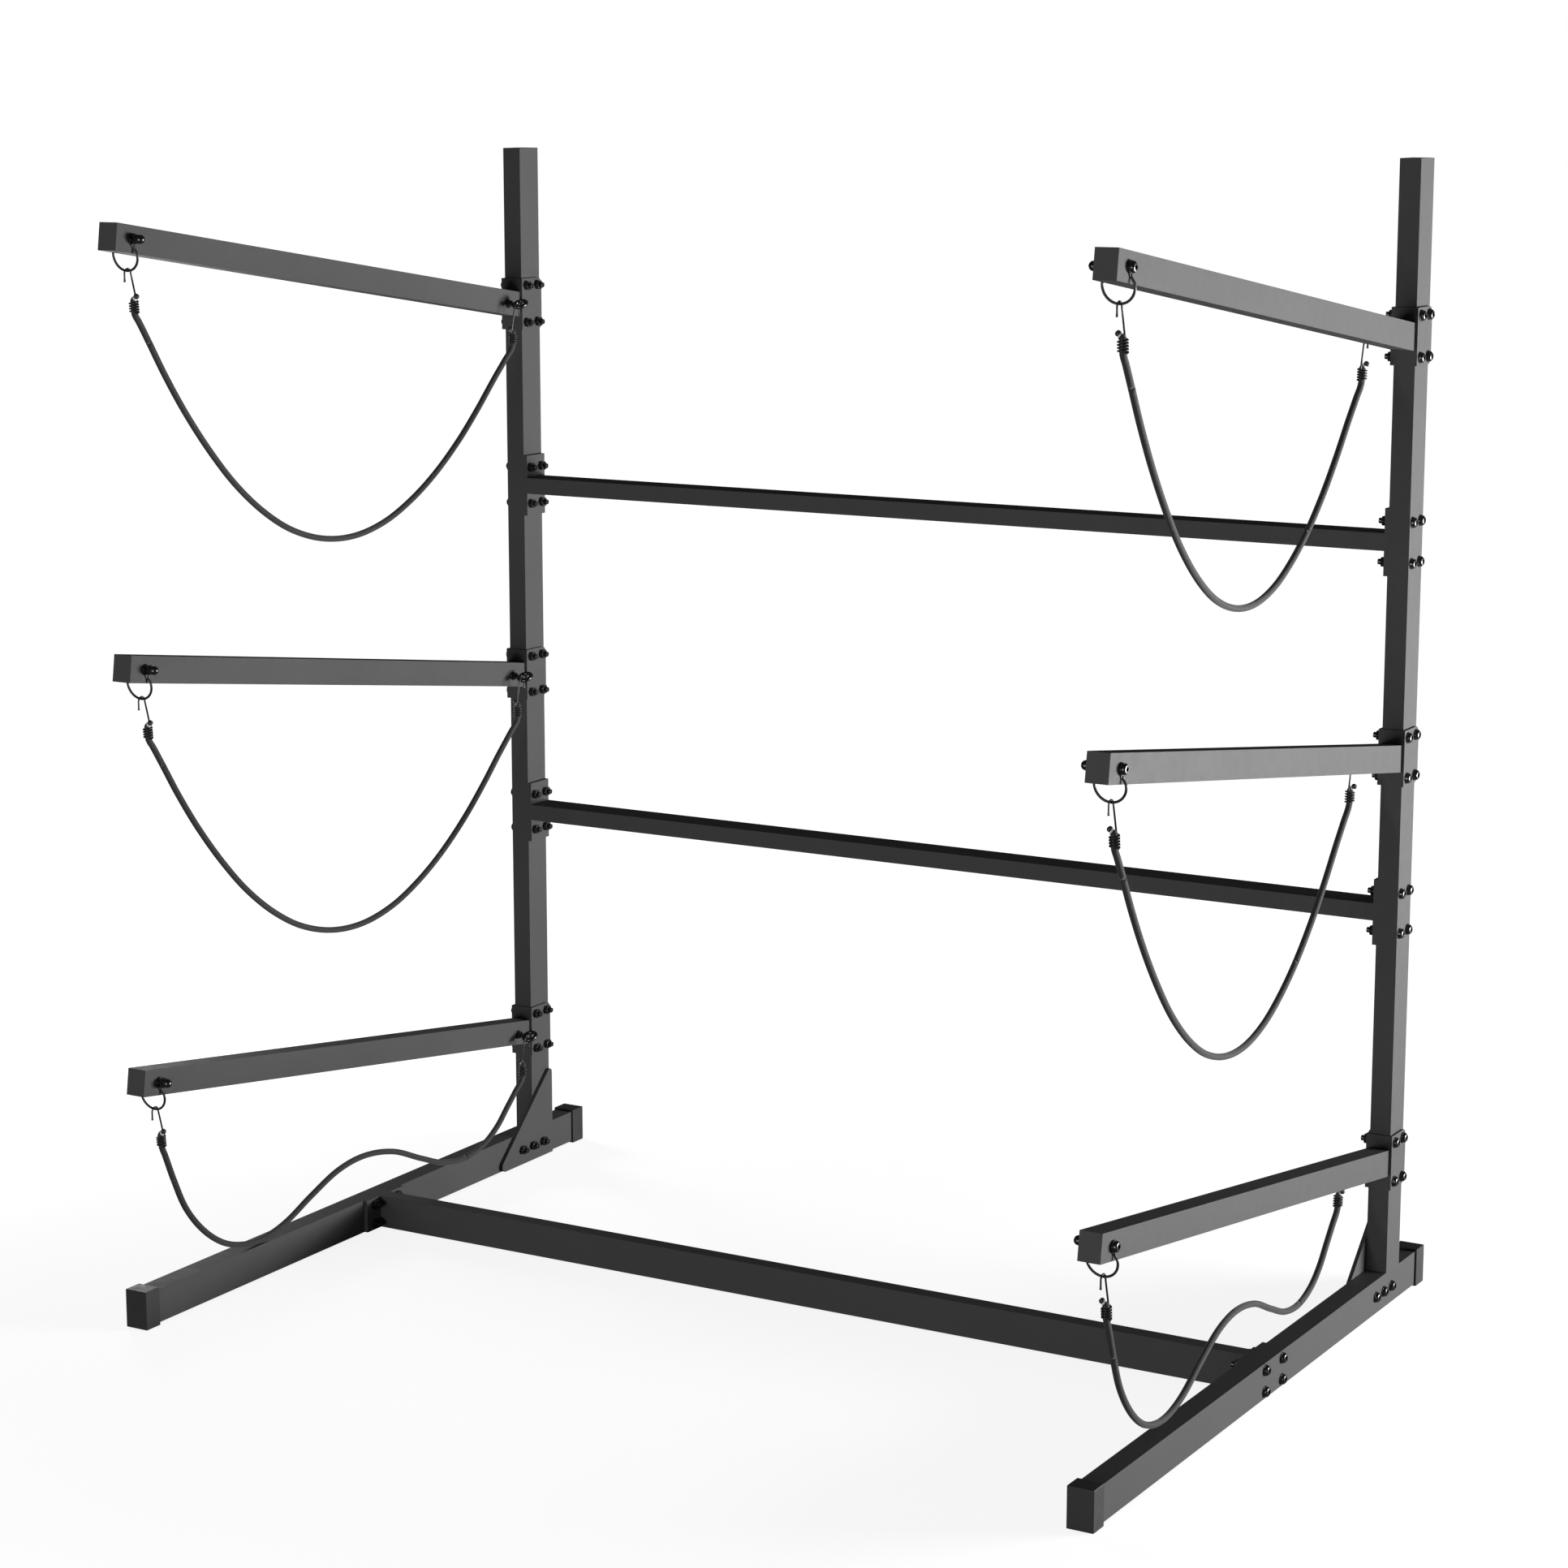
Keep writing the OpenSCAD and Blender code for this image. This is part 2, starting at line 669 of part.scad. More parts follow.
module tip_nuts() {
    color(black_steel) at_bail_bolts() difference() {
        union() {
            hex_x(nut_flats, -bail_washer_out - nut_h, -bail_washer_out);
            rod_x(dome_r, dome_x, -bail_washer_out - nut_h / 2);
            translate([dome_x, 0, 0]) sphere(r = dome_r);
        }
        rod_x(bolt_d / 2 + thread_fit, -bail_washer_out - dome_grip - thread_fit,
            -bail_washer_out + past);
    }
}

// Angle below the horizontal at which an ear starts to narrow
ear_flank = 20;

// Ear in the plane of its plate, as [y, z] from the bolt
module ear_outline() {
    side_y = ear_d / 2 * cos(ear_flank);
    side_z = -ear_d / 2 * sin(ear_flank);
    foot_y = bail_wire / 2;
    foot_z = -loop_end_drop - bail_wire;
    difference() {
        union() {
            circle(d = ear_d);
            polygon([[-side_y, side_z], [side_y, side_z], [foot_y, foot_z], [-foot_y, foot_z]]);
        }
        circle(r = bolt_d / 2 + ear_fit);
    }
}

// Wire loop with two ears, which hangs on the bail's bolt
module bail(side, row) {
    color(black_steel) on_side(side)
        translate([unit_x, bail_bolt(row)[0], bail_bolt(row)[1]]) rotate([bail_rest, 0, 0]) {
            for (x = [ear_in, -ear_out])
                translate([x, 0, 0]) rotate([90, 0, 90]) linear_extrude(ear_t) ear_outline();
            translate([0, 0, -bail_drop]) rotate([90, 0, 0]) rotate([0, 0, -90 - loop_half])
                rotate_extrude(angle = 2 * loop_half) translate([bail_loop, 0])
                    circle(d = bail_wire);
        }
}

// ---- Eye bolts ----

module at_eyes() {
    for (side = sides, row = rows) on_side(side)
        translate([unit_x - arm_w / 2, eye_spot(row)[0], eye_spot(row)[1]])
            children();
}

// Thread that stands past the inner nut
eye_thread_end = 3;

module eye_bolts() {
    color(black_steel) at_eyes() {
        translate([-eye_reach, 0, 0]) rotate([eye_tilt, 0, 0])
            rotate_extrude() translate([eye_ring, 0]) circle(d = eye_wire);
        rod_x(eye_wire / 2, -eye_reach + eye_ring, tube_wall + eye_nut_h + eye_thread_end);
    }
}

module eye_washers() {
    color(black_steel) at_eyes()
        washer(-washer_t, eye_washer_d, eye_wire / 2 + bolt_fit);
}

// A lock nut outside the arm and a captive nut inside it
module eye_nuts() {
    color(black_steel) at_eyes()
        for (x = [-washer_t - eye_nut_h, tube_wall])
            nut(x, eye_nut_flats, eye_nut_h, eye_wire / 2 + thread_fit);
}

// ---- Hooks and cords ----

module hook(seat_r) {
    color(black_steel)
        tube_along(hook_path(seat_r), hook_wire / 2, wire_sides, [1, 0, 0]);
}

module front_hook(side, row) {
    translate([side * unit_x, front_seat(row)[0], front_seat(row)[1]]) hook(bail_wire / 2);
}

module rear_hook(side, row) {
    translate([side * rear_seat_x, rear_seat(row)[0], rear_seat(row)[1]])
        rotate([0, 0, 180]) hook(eye_wire / 2);
}

module cord(side, row) {
    color(braid) on_side(side)
        tube_along(smooth(cord_route(row), route_steps), cord_d / 2, cord_sides, [1, 0, 0]);
}

echo(least_gap_in_a_winding = least_gap(hook_path(bail_wire / 2), curl_rings / 2 + 1));

upright(left);  // left_upright
upright(right);  // right_upright
foot(left);  // left_foot
foot(right);  // right_foot
end_cap(left, -1);  // left_front_cap
end_cap(left, 1);  // left_rear_cap
end_cap(right, -1);  // right_front_cap
end_cap(right, 1);  // right_rear_cap
gusset(left);  // left_gusset
gusset(right);  // right_gusset
high_crossbar(upper_bar_z);  // upper_crossbar
high_crossbar(middle_bar_z);  // middle_crossbar
floor_crossbar();
arm(left, top);  // left_top_arm
arm(left, middle);  // left_middle_arm
arm(left, bottom);  // left_bottom_arm
arm(right, top);  // right_top_arm
arm(right, middle);  // right_middle_arm
arm(right, bottom);  // right_bottom_arm
bracket_bolts();
bracket_washers();
bracket_nuts();
crossbar_bolts();
crossbar_washers();
crossbar_nuts();
gusset_bolts();
gusset_washers();
gusset_nuts();
tip_bolts();
tip_washers();
tip_nuts();
eye_bolts();
eye_washers();
eye_nuts();
bail(left, top);  // left_top_bail
bail(left, middle);  // left_middle_bail
bail(left, bottom);  // left_bottom_bail
bail(right, top);  // right_top_bail
bail(right, middle);  // right_middle_bail
bail(right, bottom);  // right_bottom_bail
front_hook(left, top);  // left_top_front_hook
front_hook(left, middle);  // left_middle_front_hook
front_hook(left, bottom);  // left_bottom_front_hook
front_hook(right, top);  // right_top_front_hook
front_hook(right, middle);  // right_middle_front_hook
front_hook(right, bottom);  // right_bottom_front_hook
rear_hook(left, top);  // left_top_rear_hook
rear_hook(left, middle);  // left_middle_rear_hook
rear_hook(left, bottom);  // left_bottom_rear_hook
rear_hook(right, top);  // right_top_rear_hook
rear_hook(right, middle);  // right_middle_rear_hook
rear_hook(right, bottom);  // right_bottom_rear_hook
cord(left, top);  // left_top_cord
cord(left, middle);  // left_middle_cord
cord(left, bottom);  // left_bottom_cord
cord(right, top);  // right_top_cord
cord(right, middle);  // right_middle_cord
cord(right, bottom);  // right_bottom_cord
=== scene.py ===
"""Looks of a freestanding kayak rack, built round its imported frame.

Metres, +Z up. The arms point to -Y and the right unit is at +X. Each side's
pieces are made by the same functions, and places come from the frame's joints.
"""

import json
import math
from itertools import accumulate

import bpy
from mathutils import Quaternion, Vector
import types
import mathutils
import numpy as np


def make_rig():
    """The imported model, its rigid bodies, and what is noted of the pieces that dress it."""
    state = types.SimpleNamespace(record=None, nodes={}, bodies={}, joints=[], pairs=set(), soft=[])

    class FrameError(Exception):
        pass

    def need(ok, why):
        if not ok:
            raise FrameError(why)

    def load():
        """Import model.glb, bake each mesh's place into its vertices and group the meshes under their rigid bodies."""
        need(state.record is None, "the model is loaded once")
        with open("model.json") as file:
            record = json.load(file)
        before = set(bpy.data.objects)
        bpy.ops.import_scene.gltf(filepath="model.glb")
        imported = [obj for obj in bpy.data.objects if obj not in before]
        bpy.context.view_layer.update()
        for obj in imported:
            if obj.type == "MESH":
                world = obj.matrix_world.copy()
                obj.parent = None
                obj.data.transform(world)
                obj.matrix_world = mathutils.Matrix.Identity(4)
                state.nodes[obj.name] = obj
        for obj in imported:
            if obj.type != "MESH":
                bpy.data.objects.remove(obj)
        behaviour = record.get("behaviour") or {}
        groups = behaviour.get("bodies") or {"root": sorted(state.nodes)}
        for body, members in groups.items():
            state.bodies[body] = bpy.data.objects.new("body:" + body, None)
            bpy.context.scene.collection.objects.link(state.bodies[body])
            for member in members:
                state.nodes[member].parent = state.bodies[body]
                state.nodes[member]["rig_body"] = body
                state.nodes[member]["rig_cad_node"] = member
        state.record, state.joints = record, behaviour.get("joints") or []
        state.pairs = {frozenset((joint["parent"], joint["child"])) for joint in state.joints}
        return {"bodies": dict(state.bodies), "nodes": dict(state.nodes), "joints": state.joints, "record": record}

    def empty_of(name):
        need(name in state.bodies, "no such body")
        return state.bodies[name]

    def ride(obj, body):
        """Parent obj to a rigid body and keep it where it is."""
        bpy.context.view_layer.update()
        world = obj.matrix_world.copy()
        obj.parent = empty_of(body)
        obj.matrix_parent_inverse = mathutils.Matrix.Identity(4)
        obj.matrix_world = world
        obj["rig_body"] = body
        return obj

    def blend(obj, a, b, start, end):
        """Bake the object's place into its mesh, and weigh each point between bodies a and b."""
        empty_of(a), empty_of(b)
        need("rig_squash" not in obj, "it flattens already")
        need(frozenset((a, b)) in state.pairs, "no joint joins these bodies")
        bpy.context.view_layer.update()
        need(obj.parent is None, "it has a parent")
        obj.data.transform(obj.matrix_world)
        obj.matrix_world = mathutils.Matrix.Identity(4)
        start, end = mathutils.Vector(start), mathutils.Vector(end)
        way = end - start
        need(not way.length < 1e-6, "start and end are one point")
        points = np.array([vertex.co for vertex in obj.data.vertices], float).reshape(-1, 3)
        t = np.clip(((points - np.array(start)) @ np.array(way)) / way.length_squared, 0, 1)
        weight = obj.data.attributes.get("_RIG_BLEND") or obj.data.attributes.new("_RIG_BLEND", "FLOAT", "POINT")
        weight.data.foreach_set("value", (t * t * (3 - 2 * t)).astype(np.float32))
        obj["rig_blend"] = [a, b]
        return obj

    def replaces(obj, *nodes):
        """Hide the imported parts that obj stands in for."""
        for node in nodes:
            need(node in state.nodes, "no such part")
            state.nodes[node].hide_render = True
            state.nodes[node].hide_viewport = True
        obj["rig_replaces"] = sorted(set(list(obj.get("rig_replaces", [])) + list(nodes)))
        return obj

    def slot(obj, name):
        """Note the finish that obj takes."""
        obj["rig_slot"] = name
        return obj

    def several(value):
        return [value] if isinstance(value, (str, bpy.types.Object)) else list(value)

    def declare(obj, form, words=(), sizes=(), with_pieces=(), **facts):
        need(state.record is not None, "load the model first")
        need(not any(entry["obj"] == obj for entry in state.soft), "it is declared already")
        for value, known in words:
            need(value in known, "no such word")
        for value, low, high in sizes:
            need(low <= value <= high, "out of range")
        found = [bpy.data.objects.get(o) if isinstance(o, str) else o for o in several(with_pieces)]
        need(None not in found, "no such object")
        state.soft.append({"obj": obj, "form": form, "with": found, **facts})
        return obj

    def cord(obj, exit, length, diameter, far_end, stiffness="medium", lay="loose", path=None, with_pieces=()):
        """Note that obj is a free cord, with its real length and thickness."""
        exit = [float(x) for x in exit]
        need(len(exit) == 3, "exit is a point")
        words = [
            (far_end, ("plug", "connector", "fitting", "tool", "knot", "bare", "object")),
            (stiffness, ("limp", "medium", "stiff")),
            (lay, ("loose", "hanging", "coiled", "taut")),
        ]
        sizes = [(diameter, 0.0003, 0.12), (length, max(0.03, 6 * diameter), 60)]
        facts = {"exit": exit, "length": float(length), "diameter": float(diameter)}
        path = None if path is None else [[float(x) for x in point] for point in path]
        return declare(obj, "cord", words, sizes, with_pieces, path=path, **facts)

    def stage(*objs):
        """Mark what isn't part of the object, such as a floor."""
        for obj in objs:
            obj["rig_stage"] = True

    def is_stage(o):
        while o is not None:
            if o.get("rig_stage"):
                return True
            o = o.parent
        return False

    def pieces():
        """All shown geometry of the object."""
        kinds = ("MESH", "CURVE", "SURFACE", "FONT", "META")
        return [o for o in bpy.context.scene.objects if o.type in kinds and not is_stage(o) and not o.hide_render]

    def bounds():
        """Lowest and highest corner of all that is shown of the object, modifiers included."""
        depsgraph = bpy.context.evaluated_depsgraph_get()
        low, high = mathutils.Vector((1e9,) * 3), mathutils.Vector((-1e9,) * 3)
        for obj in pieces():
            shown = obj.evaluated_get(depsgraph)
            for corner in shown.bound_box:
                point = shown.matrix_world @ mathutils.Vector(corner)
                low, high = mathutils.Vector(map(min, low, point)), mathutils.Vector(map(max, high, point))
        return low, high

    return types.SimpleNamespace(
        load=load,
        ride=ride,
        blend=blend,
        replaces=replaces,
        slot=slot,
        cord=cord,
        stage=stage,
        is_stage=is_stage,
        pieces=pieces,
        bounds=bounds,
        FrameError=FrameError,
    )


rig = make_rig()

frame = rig.load()
cad_low, cad_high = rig.bounds()

MM = 0.001
SIDES = {"left": -1, "right": 1}
ROWS = ("top", "middle", "bottom")
UNITS = [(side, row) for side in SIDES for row in ROWS]
JOINTS = {joint["name"]: joint for joint in frame["joints"]}


def pivot(name):
    """Point that a joint turns about, in the frame."""
    return Vector(JOINTS[name]["pos_m"])


# ---- Camera, solved from the photo ----

CAMERA_PLACE = Vector((2.5805, -4.4305, 1.7423))
CAMERA_WAY = Vector((-0.49511, 0.84842, -0.18721))
CAMERA_LENS = 85.063
SENSOR = 36.0


def make_camera():
    """Camera whose view is the photo's."""
    data = bpy.data.cameras.new("camera")
    data.lens = CAMERA_LENS
    data.sensor_width = SENSOR
    camera = bpy.data.objects.new("camera", data)
    camera.location = CAMERA_PLACE
    camera.rotation_mode = "QUATERNION"
    camera.rotation_quaternion = CAMERA_WAY.to_track_quat("-Z", "Y")
    bpy.context.scene.collection.objects.link(camera)
    bpy.context.scene.camera = camera


make_camera()

# ---- Mesh helpers ----

SHARP_EDGE = math.radians(50)
FLAT_WEIGHT = 100


def mesh_object(name, points, faces, uvs=None):
    """Smooth-shaded object from points and faces, with a UV for each corner."""
    mesh = bpy.data.meshes.new(name)
    mesh.from_pydata([tuple(p) for p in points], [], faces)
    if uvs:
        layer = mesh.uv_layers.new(name="along")
        layer.data.foreach_set("uv", [number for uv in uvs for number in uv])
    mesh.shade_smooth()
    made = bpy.data.objects.new(name, mesh)
    bpy.context.scene.collection.objects.link(made)
    return made


def ease_edges(piece, width):
    """Rounds a piece's sharp edges and keeps its flat faces flat."""
    bevel = piece.modifiers.new("edges", "BEVEL")
    bevel.width = width
    bevel.segments = 2
    bevel.limit_method = "ANGLE"
    bevel.angle_limit = SHARP_EDGE
    flat = piece.modifiers.new("flat", "WEIGHTED_NORMAL")
    flat.weight = FLAT_WEIGHT


def ways_along(line):
    """Direction of a line of points at each point."""
    steps = [(b - a).normalized() for a, b in zip(line, line[1:])]
    inner = [(a + b).normalized() for a, b in zip(steps, steps[1:])]
    return [steps[0], *inner, steps[-1]]


def far_along(line):
    """Distance from a line's start to each of its points."""
    return list(accumulate(((b - a).length for a, b in zip(line, line[1:])), initial=0.0))


def length_of(line):
    return far_along(line)[-1]


def nearest(line, place):
    """Index of the point of a line that is nearest to a place."""
    return min(range(len(line)), key=lambda i: (line[i] - place).length)


def tube(name, line, radii, around):
    """Closed round tube along a line. radii is one radius, or one per point.

    Its UV runs 0 to 1 around and in metres along.
    """
    if not hasattr(radii, "__len__"):
        radii = [radii] * len(line)
    ways = ways_along(line)
    across = ways[0].orthogonal().normalized()
    points = []
    for place, way, radius in zip(line, ways, radii):
        across = (across - across.dot(way) * way).normalized()
        other = way.cross(across)
        for k in range(around):
            turn = 2 * math.pi * k / around
            points.append(place + radius * (math.cos(turn) * across + math.sin(turn) * other))
    far = far_along(line)
    faces, uvs = [], []
    for i in range(len(line) - 1):
        a, b = i * around, (i + 1) * around
        for k in range(around):
            after = (k + 1) % around
            faces.append((a + k, a + after, b + after, b + k))
            u0, u1 = k / around, (k + 1) / around
            uvs += [(u0, far[i]), (u1, far[i]), (u1, far[i + 1]), (u0, far[i + 1])]
    last = (len(line) - 1) * around
    faces.append(tuple(reversed(range(around))))
    faces.append(tuple(last + k for k in range(around)))
    uvs += [(k / around, 0.0) for k in reversed(range(around))]
    uvs += [(k / around, far[-1]) for k in range(around)]
    return mesh_object(name, points, faces, uvs)


def smooth_line(route, gap):
    """Smooth line through a route's points, with a point about every gap."""
    ways = ways_along(route)
    line = []
    for p, q, way_p, way_q in zip(route, route[1:], ways, ways[1:]):
        reach = (q - p).length
        steps = max(2, round(reach / gap))
        for k in range(steps):
            t = k / steps
            t2, t3 = t * t, t * t * t
            line.append((2 * t3 - 3 * t2 + 1) * p + (t3 - 2 * t2 + t) * reach * way_p
                        + (3 * t2 - 2 * t3) * q + (t3 - t2) * reach * way_q)
    return line + [route[-1]]


# ---- Materials ----

# Where most of a noise's values lie
NOISE_RANGE = (0.3, 0.7)


class Nodes:
    """A material's node tree, with short calls for what the finishes need."""

    def __init__(self, name):
        self.material = bpy.data.materials.new(name)
        self.material.use_nodes = True
        self.tree = self.material.node_tree
        self.shader = self.tree.nodes["Principled BSDF"]
        self.coordinates = self.add("ShaderNodeTexCoord")

    def add(self, kind, **values):
        node = self.tree.nodes.new(kind)
        for name, value in values.items():
            if hasattr(node, name):
                setattr(node, name, value)
            else:
                node.inputs[name.replace("_", " ").title()].default_value = value
        return node

    def link(self, out, into):
        self.tree.links.new(out, into)

    def set(self, **values):
        for name, value in values.items():
            self.shader.inputs[name.replace("_", " ")].default_value = value

    def noise(self, scale, detail=2.0, roughness=0.5):
        node = self.add("ShaderNodeTexNoise", scale=scale, detail=detail, roughness=roughness)
        self.link(self.coordinates.outputs["Object"], node.inputs["Vector"])
        return node.outputs["Fac"]

    def math(self, operation, a, b=0.0, c=None):
        node = self.add("ShaderNodeMath", operation=operation)
        for socket, value in zip(node.inputs, (a, b, c)):
            if value is None:
                continue
            if isinstance(value, (int, float)):
                socket.default_value = value
            else:
                self.link(value, socket)
        return node.outputs[0]

    def remap(self, value, old, new, **values):
        """value, with the range old stretched to the range new."""
        node = self.add("ShaderNodeMapRange", **values)
        sockets = ("From Min", "From Max", "To Min", "To Max")
        for name, number in zip(sockets, (*old, *new)):
            node.inputs[name].default_value = number
        self.link(value, node.inputs["Value"])
        return node.outputs[0]

    def spread(self, value, low, high):
        """A noise stretched to the range low to high."""
        return self.remap(value, NOISE_RANGE, (low, high))

    def mix(self, share, dark, light):
        node = self.add("ShaderNodeMix", data_type="RGBA")
        inputs = [socket for socket in node.inputs if socket.type == "RGBA"]
        inputs[0].default_value = (*dark, 1)
        inputs[1].default_value = (*light, 1)
        self.link(share, node.inputs[0])
        return next(socket for socket in node.outputs if socket.type == "RGBA")

    def bump(self, height, distance, strength=1.0, under=None):
        node = self.add("ShaderNodeBump")
        node.inputs["Distance"].default_value = distance
        node.inputs["Strength"].default_value = strength
        self.link(height, node.inputs["Height"])
        if under:
            self.link(under, node.inputs["Normal"])
        return node.outputs["Normal"]


def grey(value, tint=0.0):
    """A linear grey, turned towards blue by tint."""
    return (value, value, value * (1 + tint))


def powder_coat():
    """Matte dark grey paint with a fine texture and faint cloudiness."""
    n = Nodes("powder_coat")
    cloud = n.spread(n.noise(7.0, 3.0), 0.0, 1.0)
    n.link(n.mix(cloud, grey(0.072, 0.03), grey(0.077, 0.03)), n.shader.inputs["Base Color"])
    n.link(n.spread(n.noise(60.0, 4.0), 0.56, 0.62), n.shader.inputs["Roughness"])
    n.set(Specular_IOR_Level=0.22)
    peel = n.bump(n.noise(420.0, 1.0), 0.0001, 0.15)
    n.link(n.bump(n.noise(2200.0, 2.0), 0.00005, 0.2, peel), n.shader.inputs["Normal"])
    return n.material


def cap_plastic():
    """Moulded plastic, darker and more even than the paint."""
    n = Nodes("cap_plastic")
    n.link(n.mix(n.spread(n.noise(14.0), 0, 1), grey(0.030, 0.03), grey(0.037, 0.03)),
           n.shader.inputs["Base Color"])
    n.link(n.spread(n.noise(90.0, 3.0), 0.46, 0.58), n.shader.inputs["Roughness"])
    n.set(Specular_IOR_Level=0.35)
    n.link(n.bump(n.noise(1400.0, 1.0), 0.0001, 0.4), n.shader.inputs["Normal"])
    return n.material


def plated_steel(name, dark, light, metallic, rough):
    """Black plating: fine mottling, and a soft gloss that varies a little."""
    n = Nodes(name)
    n.link(n.mix(n.spread(n.noise(180.0, 3.0), 0, 1), dark, light), n.shader.inputs["Base Color"])
    n.link(n.spread(n.noise(400.0, 3.0), rough, rough + 0.08), n.shader.inputs["Roughness"])
    n.set(Metallic=metallic)
    n.link(n.bump(n.noise(1500.0, 2.0), 0.00002, 0.4), n.shader.inputs["Normal"])
    return n.material


def black_steel():
    """Glossy black bolts, washers, nuts and eyes."""
    return plated_steel("black_steel", grey(0.08), grey(0.10), 1.0, 0.24)


def black_wire():
    """Darker and duller plating of the bent wire."""
    return plated_steel("black_wire", grey(0.013), grey(0.02), 0.0, 0.32)


BRAID_STRANDS = 12
BRAID_PITCH = 0.0042


def cord_braid():
    """Tight braided sleeve: two families of strands that cross round the cord, with painted shade between them."""
    n = Nodes("cord_braid")
    parts = n.add("ShaderNodeSeparateXYZ")
    n.link(n.coordinates.outputs["UV"], parts.inputs[0])
    around = n.math("MULTIPLY", parts.outputs[0], 2 * math.pi * BRAID_STRANDS)
    along = n.math("MULTIPLY", parts.outputs[1], 2 * math.pi / BRAID_PITCH)
    one = n.math("SINE", n.math("ADD", around, along))
    two = n.math("SINE", n.math("SUBTRACT", around, along))
    weave_and_shade = n.math("MULTIPLY_ADD", n.math("MULTIPLY", one, two), 0.5, 0.5)
    # Painted shade: the braid's low places between strands are coloured darker; the same pattern gives the bump.
    n.link(n.mix(weave_and_shade, grey(0.032, 0.04), grey(0.042, 0.04)), n.shader.inputs["Base Color"])
    n.set(Roughness=0.75, Specular_IOR_Level=0.3, Sheen_Weight=0.15, Sheen_Roughness=0.5)
    fibre = n.bump(n.noise(3000.0, 2.0), 0.00005, 0.4)
    n.link(n.bump(weave_and_shade, 0.0002, 0.4, fibre), n.shader.inputs["Normal"])
    return n.material


def end_rubber():
    """Dark rounded bead at a cord's end."""
    n = Nodes("end_rubber")
    n.link(n.mix(n.spread(n.noise(500.0), 0, 1), grey(0.022), grey(0.034)),
           n.shader.inputs["Base Color"])
    n.set(Roughness=0.45)
    n.link(n.bump(n.noise(1800.0), 0.00008, 0.4), n.shader.inputs["Normal"])
    return n.material


def end_band():
    """Near-white band under the bead."""
    n = Nodes("end_band")
    n.link(n.mix(n.spread(n.noise(700.0), 0, 1), (0.8, 0.8, 0.79), (0.9, 0.9, 0.89)),
           n.shader.inputs["Base Color"])
    n.set(Roughness=0.6)
    n.link(n.bump(n.noise(2500.0), 0.0001, 0.5), n.shader.inputs["Normal"])
    return n.material


FINISHES = {
    "powder_coat": powder_coat(),
    "cap_plastic": cap_plastic(),
    "black_steel": black_steel(),
    "cord_braid": cord_braid(),
}
WIRE = black_wire()
BEAD = end_rubber()
BAND = end_band()


def dress(piece, material, slot=None):
    """Gives a piece a material, and the record's slot that it stands for."""
    piece.data.materials.append(material)
    if slot:
        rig.slot(piece, slot)
    return piece


# ---- Hooks: on the CAD model's middle lines, with wires as thick as they look ----

BAIL_WIRE = 3 * MM
BAIL_WIRE_SEEN = 3.4 * MM
EYE_WIRE = 6 * MM
HOOK_WIRE = 2.5 * MM
HOOK_BEND = 6.5 * MM
HOOK_GAP = 0.25 * MM
HOOK_LEG = 18 * MM
HOOK_TIP = 3.2 * MM
TIP_TAPER = 5 * MM
HOOK_SHANK = 38 * MM
SHANK_LEAN = math.radians(15)
WINDING_LEAN = math.radians(5)
WINDING_PITCH = 3.6 * MM
WINDING_TURNS = 4
WINDING_FIT = 0.15 * MM
LEAD_IN = 2 * MM
CORD_D = 9 * MM
CORD_END = 8.5 * MM
CORD_ASIDE = 8 * MM

# Points along the parts of a hook's wire, and round a wire
LEG_STEPS = 8
BEND_STEPS = 20
LEAD_STEPS = 12
TURN_STEPS = 24
WIRE_AROUND = 14

COIL_R = CORD_D / 2 + WINDING_FIT + HOOK_WIRE / 2
COIL_LEN = LEAD_IN + WINDING_TURNS * WINDING_PITCH
COIL_AXIS = Vector((0, math.sin(WINDING_LEAN), -math.cos(WINDING_LEAN)))
COIL_SIDE = Vector((0, math.cos(WINDING_LEAN), math.sin(WINDING_LEAN)))
SEAT_RADII = {"front": BAIL_WIRE / 2, "rear": EYE_WIRE / 2}


def bend_middle(seat_r):
    """Centre of a hook's bend over the wire that it hangs on."""
    return Vector((0, 0, seat_r + HOOK_GAP + HOOK_WIRE / 2 - HOOK_BEND))


def coil_middle(seat_r, far):
    """Centre of a winding, far along its axis, in the hook's own frame."""
    lean = Vector((0, math.sin(SHANK_LEAN), -math.cos(SHANK_LEAN)))
    shank_end = bend_middle(seat_r) + Vector((0, HOOK_BEND, 0)) + HOOK_SHANK * lean
    return shank_end - COIL_R * COIL_SIDE + far * COIL_AXIS


def coil_point(seat_r, turn, far):
    """Point of the winding's wire, after a turn round the axis."""
    way = math.sin(turn) * Vector((1, 0, 0)) + math.cos(turn) * COIL_SIDE
    return coil_middle(seat_r, far) + COIL_R * way


def hook_line(seat_r):
    """Middle line of a hook's wire: free leg, bend, shank, lead-in, winding."""
    middle = bend_middle(seat_r)
    leg_z = middle.z + HOOK_BEND - HOOK_LEG
    line = [Vector((0, -HOOK_BEND, leg_z + (middle.z - leg_z) * k / LEG_STEPS))
            for k in range(LEG_STEPS)]
    line += [middle + HOOK_BEND * Vector((0, -math.cos(t), math.sin(t)))
             for t in (math.pi * k / BEND_STEPS for k in range(BEND_STEPS + 1))]
    slope = 2 * LEAD_IN - WINDING_PITCH / 2
    for k in range(LEAD_STEPS + 1):
        u = k / LEAD_STEPS
        far = slope * u + (WINDING_PITCH / 2 - slope) * u * u / 2
        line.append(coil_point(seat_r, math.pi / 2 * u * u, far))
    for k in range(1, TURN_STEPS * WINDING_TURNS + 1):
        line.append(coil_point(seat_r, math.pi / 2 + 2 * math.pi * k / TURN_STEPS,
                               LEAD_IN + WINDING_PITCH * k / TURN_STEPS))
    return line + [line[-1] + HOOK_WIRE * (line[-1] - line[-2]).normalized()]


